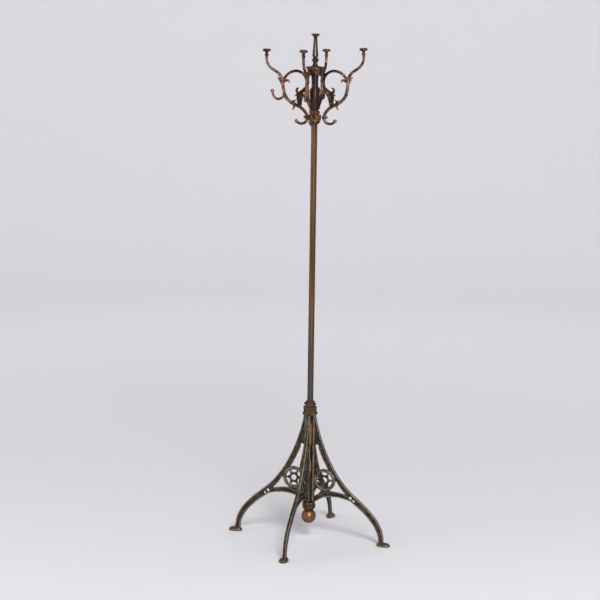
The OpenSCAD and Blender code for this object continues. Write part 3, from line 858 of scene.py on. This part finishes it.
def leg_web_shade(material, place):
    """Painted shade on the web between the beads: near the middle plane of a leg, where x or y is nearly
    nothing.
    """
    parts = add_node(material, "SeparateXYZ", {"Vector": place})
    across = [add_node(material, "Math", {0: parts.outputs[k]},
                       operation="ABSOLUTE").outputs[0] for k in ("X", "Y")]
    nearest = add_node(material, "Math", {0: across[0], 1: across[1]}, operation="MINIMUM")
    # Painted shade: the web near the middle plane goes dark, less so where the noise spots fall.
    hollow = add_node(material, "MapRange",
                      {"Value": nearest.outputs[0], "From Min": 0.0048, "From Max": 0.003})
    spots = add_node(material, "TexNoise",
                     {"Vector": place, "Scale": 1 / 0.018, "Detail": 3, "Roughness": 0.65})
    left = add_node(material, "MapRange", {"Value": spots.outputs["Fac"], "From Min": 0.42, "From Max": 0.62,
                                           "To Min": 0.85, "To Max": 0.4})
    return add_node(material, "Math", {0: hollow.outputs[0], 1: left.outputs[0]},
                    operation="MULTIPLY").outputs[0]


bronzed_iron = casting_finish("bronzed_cast_iron", "5e574c", "746b5b", "63584a", "aca592", "241f19",
                              0.36, 0.72, leg_web_shade, sole_rust, "6f4a32")
rusty_iron = casting_finish("rusty_bronzed_iron", "4a4035", "63493a", "554a3d", "8a7058", "201a15", 0.43, 0.7)
for piece in legs:
    wear(piece, bronzed_iron)
wear(collar, rusty_iron)
waxed_iron = casting_finish("waxed_turned_iron", "44392f", "524435", "3a342b", "5c4a3a", "1b1612", 0.4, 0.75)
for name in ("hub_washer", "neck_ring", "stop_ring", "ring_screw_left", "ring_screw_right"):
    wear(nodes[name], waxed_iron)
print("bronzed iron on", len(legs), "legs, rusty iron on the collar, and waxed iron on the rings")

# %% [markdown]
# ## Dark iron for the crown, the finial and the hub
# The crown, the spire and the hub under the legs are darker, with painted shade nearly black in their
# valleys, and one rubbed copper panel on the crown beside the front arm.

# %% Paint the crown, its screws, the finial and the hub
def crown_rust(material, place, patches):
    """A rubbed copper panel on the crown, on the right of the front arm."""
    return streak(material, place, patches, (0.0175, -0.0190), 0.009, 1.656, 1.684)


dark_iron = casting_finish("dark_bronzed_iron", "42372e", "5a4638", "463c30", "9c7658", "181410", 0.34, 0.8,
                           None, crown_rust, "6e4c36")
for piece in (crown, finial, hub):
    wear(piece, dark_iron)
for side in SIDES:
    wear(nodes["crown_screw_" + side], dark_iron)
print("dark iron on the crown, the finial, the hub and four screws")

# %% [markdown]
# ## Coppered iron for the arms
# The arms keep more of their copper: warm brown bars that shine pink-orange along their ridges. Painted
# shade darkens the stems and leaves beside the pole, and the hat pegs are darker as well.

# %% Paint the arms and the turning block
def block_copper_patch(material, place, patches):
    """A copper-brown patch on one face of the block, on the right of the front screw."""
    return streak(material, place, patches, (0.0165, -0.0142), 0.0115, 1.488, 1.536, 0.35)


def stem_shade_and_dark_pegs(material, place):
    """Painted shade on the stems and leaves beside the pole, above the block, and a darker tone on the hat
    pegs.
    """
    # Painted shade: within 90 mm of the pole and above 1.535 m, the arms go towards the dark shade tone.
    inner = add_node(material, "MapRange", {"Value": from_axis(material, place), "From Min": 0.09,
                                            "From Max": 0.062, "To Max": 0.72})
    height = add_node(material, "SeparateXYZ", {"Vector": place}).outputs["Z"]
    above = add_node(material, "MapRange", {"Value": height, "From Min": 1.535, "From Max": 1.555})
    inner = add_node(material, "Math", {0: inner.outputs[0], 1: above.outputs[0]}, operation="MULTIPLY")
    # The hat pegs, above 1.708 m, are darkened the same way.
    peg = add_node(material, "MapRange",
                   {"Value": height, "From Min": 1.708, "From Max": 1.731, "To Max": 0.6})
    return add_node(material, "Math", {0: inner.outputs[0], 1: peg.outputs[0]},
                    operation="MAXIMUM").outputs[0]


coppered_iron = casting_finish("coppered_cast_iron", "583f30", "7d5a45", "4b3d31", "e4b194", "17130f",
                               0.27, 0.9, stem_shade_and_dark_pegs)
fitting_copper = casting_finish("coppered_fitting", "42352c", "5a4334", "463a31", "a87c5e", "1b1511",
                                0.38, 0.85, None, block_copper_patch, "7f5840")
for piece in arms:
    wear(piece, coppered_iron)
for piece in (block, flange):
    wear(piece, fitting_copper)
for side in SIDES:
    wear(nodes["arm_screw_" + side], fitting_copper)
print("coppered iron on four arms, and a darker copper on the block, the flange and four screws")

# %% [markdown]
# ## The pole
# The pole is lacquered iron pipe, drawn and polished lengthwise. Its lacquer is brown near the head, and the
# bare grey of the iron shows more and more towards the legs, in upright streaks.
# The streaks are noise that is squeezed along the pole, about 4 mm wide and 200 mm long.

# %% Paint the pole
pole_paint, pole_shader = finish("lacquered_iron_pipe", "6a5240", 0.3, 0.85)
place = add_node(pole_paint, "TexCoord").outputs["Object"]
squeezed = add_node(pole_paint, "Mapping", {"Vector": place, "Scale": (250, 250, 5)})
streaks = add_node(pole_paint, "TexNoise", {"Vector": squeezed.outputs[0], "Scale": 1, "Detail": 4})
height = add_node(pole_paint, "SeparateXYZ", {"Vector": place}).outputs["Z"]
fade = add_node(pole_paint, "MapRange",
                {"Value": height, "From Min": 0.5, "From Max": 1.0, "To Min": 0.25, "To Max": -0.3})
mixed = add_node(pole_paint, "Math", {0: streaks.outputs["Fac"], 1: fade.outputs[0]}, operation="ADD")
bare = add_node(pole_paint, "MapRange", {"Value": mixed.outputs[0], "From Min": 0.4, "From Max": 0.7})
brown = add_node(pole_paint, "MapRange",
                 {"Value": streaks.outputs["Fac"], "From Min": 0.35, "From Max": 0.65})
lacquer = add_node(pole_paint, "Mix", {0: brown.outputs[0], 6: colour("58402f"), 7: colour("7f5e46")},
                   data_type="RGBA")
pipe = add_node(pole_paint, "Mix", {0: bare.outputs[0], 6: lacquer.outputs[2], 7: colour("4c4c4c")},
                data_type="RGBA")
# Painted shade: the pole goes dark brown below the collar, where it stands between the legs.
collar_shade = add_node(pole_paint, "MapRange",
                        {"Value": height, "From Min": 0.465, "From Max": 0.455, "To Max": 0.85})
# Painted shade: the pole goes dark grey inside the head, among the arms, the block and the crown.
head_shade = add_node(pole_paint, "MapRange",
                   {"Value": height, "From Min": 1.52, "From Max": 1.54, "To Max": 0.8})
dim = add_node(pole_paint, "Mix", {0: head_shade.outputs[0], 6: pipe.outputs[2], 7: colour("2d3133")},
               data_type="RGBA")
with_painted_shade = add_node(pole_paint, "Mix", {0: collar_shade.outputs[0], 6: dim.outputs[2], 7: colour("2e2720")},
                 data_type="RGBA")
blotches = add_node(pole_paint, "TexNoise", {"Vector": place, "Scale": 1 / 0.016, "Detail": 3})
runs = [streak(pole_paint, place, blotches.outputs["Fac"], (0.0062, -0.0088), 0.0048, low, high, 0.8)
        for low, high in ((0.345, 0.43), (0.25, 0.29))]
in_loop = streak(pole_paint, place, blotches.outputs["Fac"], (0.0052, -0.0095), 0.0046, 1.562, 1.612, 0.9)
runs.append(add_node(pole_paint, "Math", {0: in_loop, 1: 0.4}, operation="MULTIPLY").outputs[0])
rusty = add_node(pole_paint, "Math", {0: runs[0], 1: runs[1]}, operation="MAXIMUM")
rusty = add_node(pole_paint, "Math", {0: rusty.outputs[0], 1: runs[2]}, operation="MAXIMUM")
skin = add_node(pole_paint, "Mix", {0: rusty.outputs[0], 6: with_painted_shade.outputs[2], 7: colour("a86430")},
                data_type="RGBA")
pole_paint.node_tree.links.new(skin.outputs[2], pole_shader.inputs["Base Color"])
dull = add_node(pole_paint, "MapRange", {"Value": streaks.outputs["Fac"], "From Min": 0.3, "From Max": 0.7,
                                         "To Min": 0.2, "To Max": 0.36})
pole_paint.node_tree.links.new(dull.outputs[0], pole_shader.inputs["Roughness"])
scratch = add_node(pole_paint, "Bump",
                   {"Height": streaks.outputs["Fac"], "Strength": 0.2, "Distance": 0.0004})
pole_paint.node_tree.links.new(scratch.outputs[0], pole_shader.inputs["Normal"])
wear(nodes["pole"], pole_paint)
print("the pole is lacquered")

# %% [markdown]
# ## The ball and the small metal parts
# The ball is washed with copper and has browned to a warm tan with darker clouds. The tie rod and its nut
# are plain dull steel, and the thrust washer and the cap of the pole are brass; all of those are hidden.

# %% Paint the ball, the steel and the brass
ball_copper, ball_shader = finish("browned_copper_wash", "7c5438", 0.42, 0.85)
place = add_node(ball_copper, "TexCoord").outputs["Object"]
clouds = add_node(ball_copper, "TexNoise",
                  {"Vector": place, "Scale": 1 / 0.014, "Detail": 5, "Roughness": 0.6})
cloudy = add_node(ball_copper, "MapRange",
                  {"Value": clouds.outputs["Fac"], "From Min": 0.38, "From Max": 0.62})
skin = add_node(ball_copper, "Mix", {0: cloudy.outputs[0], 6: colour("644835"), 7: colour("94694a")},
                data_type="RGBA")
ball_copper.node_tree.links.new(skin.outputs[2], ball_shader.inputs["Base Color"])
dull = add_node(ball_copper, "MapRange", {"Value": clouds.outputs["Fac"], "From Min": 0.3, "From Max": 0.7,
                                          "To Min": 0.5, "To Max": 0.38})
ball_copper.node_tree.links.new(dull.outputs[0], ball_shader.inputs["Roughness"])
wear(ball, ball_copper)

plain_steel, steel_shader = finish("dull_steel", "7a7a78", 0.45, 1.0)
brass, brass_shader = finish("worn_brass", "b08d57", 0.35, 1.0)
for material, shader, low in ((plain_steel, steel_shader, 0.35), (brass, brass_shader, 0.25)):
    place = add_node(material, "TexCoord").outputs["Object"]
    smudges = add_node(material, "TexNoise", {"Vector": place, "Scale": 1 / 0.004, "Detail": 3})
    dull = add_node(material, "MapRange",
                    {"Value": smudges.outputs["Fac"], "To Min": low, "To Max": low + 0.3})
    material.node_tree.links.new(dull.outputs[0], shader.inputs["Roughness"])
for name in ("tie_rod", "tie_nut"):
    wear(nodes[name], plain_steel)
for name in ("thrust_washer", "pole_cap"):
    wear(nodes[name], brass)
print("the ball is coppered, and the hidden metal parts have their finishes")

# %% [markdown]
# ## The studio
# The rack stands in a round room of pale paper: a flat floor whose rim curves up into a wall, so that no
# edge shows from any side. It could be a bent sheet, but that hides the rack from behind. A disc is added,
# and its rim is extruded outwards and upwards in small steps.

# %% Raise the paper wall
FLOOR_R = 5.5
CURVE_R = 2.4
WALL_TOP = 4.6
CURVE_STEPS = 14

pick()
bpy.ops.mesh.primitive_circle_add(vertices=96, radius=FLOOR_R, fill_type="NGON")
paper = bpy.context.object
paper.name = "paper_room"
bpy.ops.object.mode_set(mode="EDIT")
bpy.ops.mesh.select_all(action="SELECT")
rim = (FLOOR_R, 0)
for step in range(1, CURVE_STEPS + 2):
    lift = math.radians(90 * min(step, CURVE_STEPS) / CURVE_STEPS)
    rise_r = FLOOR_R + CURVE_R * math.sin(lift)
    rise_z = CURVE_R * (1 - math.cos(lift)) if step <= CURVE_STEPS else WALL_TOP
    bpy.ops.mesh.extrude_edges_move(TRANSFORM_OT_translate={"value": (0, 0, rise_z - rim[1])})
    bpy.ops.transform.resize(value=(rise_r / rim[0], rise_r / rim[0], 1))
    rim = (rise_r, rise_z)
bpy.ops.object.mode_set(mode="OBJECT")
bpy.ops.object.shade_smooth()
paper_white, paper_shader = finish("pale_paper", "e5e4e7", 0.9, 0)
place = add_node(paper_white, "TexCoord").outputs["Object"]
fibre = add_node(paper_white, "TexNoise", {"Vector": place, "Scale": 400, "Detail": 3})
tooth = add_node(paper_white, "Bump", {"Height": fibre.outputs["Fac"], "Strength": 0.05, "Distance": 0.001})
paper_white.node_tree.links.new(tooth.outputs[0], paper_shader.inputs["Normal"])
wear(paper, paper_white)
print("the paper room has", len(paper.data.polygons), "faces")

# %% [markdown]
# ## Light
# One large softbox hangs in front and above, a narrow strip on the left draws the long highlight down the
# pole and the bars, and a wide panel opens the shadows. A ring of lamps washes the paper wall, most of all
# behind the rack. The room above the paper is dim, and the turned metal reflects it as dark edges.

# %% Place the lights
def softbox(name, place, size, power):
    """An area light at a place in the camera's turned frame, aimed at the middle of the rack."""
    bpy.ops.object.light_add(type="AREA")
    light = bpy.context.object
    light.name = name
    light.data.shape = "RECTANGLE"
    light.data.size, light.data.size_y = size
    light.data.energy = power
    spot = turn @ Vector(place)
    light.rotation_euler = (Vector((0, 0, 0.9)) - spot).to_track_quat("-Z", "Y").to_euler()
    light.location = spot
    light.visible_camera = False
    return light


softbox("key", (0.9, -3.8, 4.2), (1.4, 1.4), 150)
softbox("front_panel", (1.5, -6.0, 2.6), (2.4, 2.4), 120)
softbox("left_strip", (-3.0, -1.0, 1.6), (0.5, 2.4), 14)
WASHERS = 8
WASHER_SPOT = Vector((0, 3.9, 4.6))
WASHER_AIM = Vector((0, 1, -1.7))
FRONT_WATTS = 32
EXTRA_WATTS_BEHIND = 30
for i in range(WASHERS):
    bearing = Matrix.Rotation(2 * math.pi * i / WASHERS, 3, "Z")
    behind = (1 + math.cos(2 * math.pi * i / WASHERS)) / 2
    washer = softbox("wall_washer_" + str(i), bearing @ WASHER_SPOT, (1.8, 0.6),
                     FRONT_WATTS + EXTRA_WATTS_BEHIND * behind ** 2)
    washer.rotation_euler = (turn.to_3x3() @ bearing @ WASHER_AIM).to_track_quat("-Z", "Y").to_euler()

room = bpy.data.worlds.new("dim_room")
bpy.context.scene.world = room
room.use_nodes = True
room.node_tree.nodes["Background"].inputs["Color"].default_value = colour("c8cad2")
room.node_tree.nodes["Background"].inputs["Strength"].default_value = 0.2
bpy.context.scene.view_settings.view_transform = "Standard"
